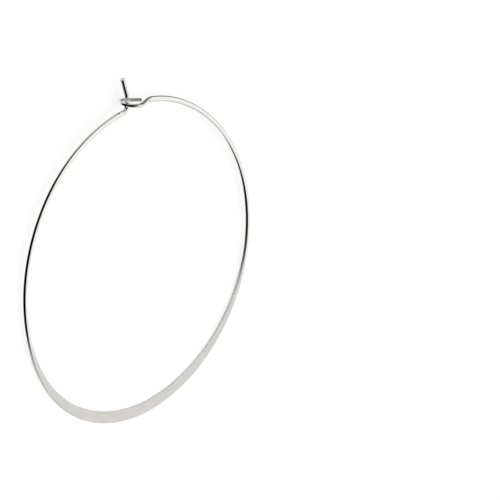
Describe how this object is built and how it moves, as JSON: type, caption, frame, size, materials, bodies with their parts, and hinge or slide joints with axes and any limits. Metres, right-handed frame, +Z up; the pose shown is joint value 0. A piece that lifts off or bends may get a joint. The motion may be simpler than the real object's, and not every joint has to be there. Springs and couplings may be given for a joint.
{
  "type": "hoop earring",
  "caption": "Round hoop earring bent from one silver wire, flattened and widest opposite the clasp, with an ear pin that passes through an eye curled from the wire's other end.",
  "frame": {"origin": "bottom centre of the bounding box, on the ground that the earring lies on", "axes": "+Z up, through the hoop's opening; the clasp is at the -Y end and the widest flat at the +Y end; the eye's front arm stands up from the ring, to +Z"},
  "size_m": [0.0526, 0.0586, 0.004],
  "materials": {
    "polished_silver": "polished"
  },
  "bodies": {
    "root": {"hoop_wire": "polished_silver"}
  },
  "joints": []
}
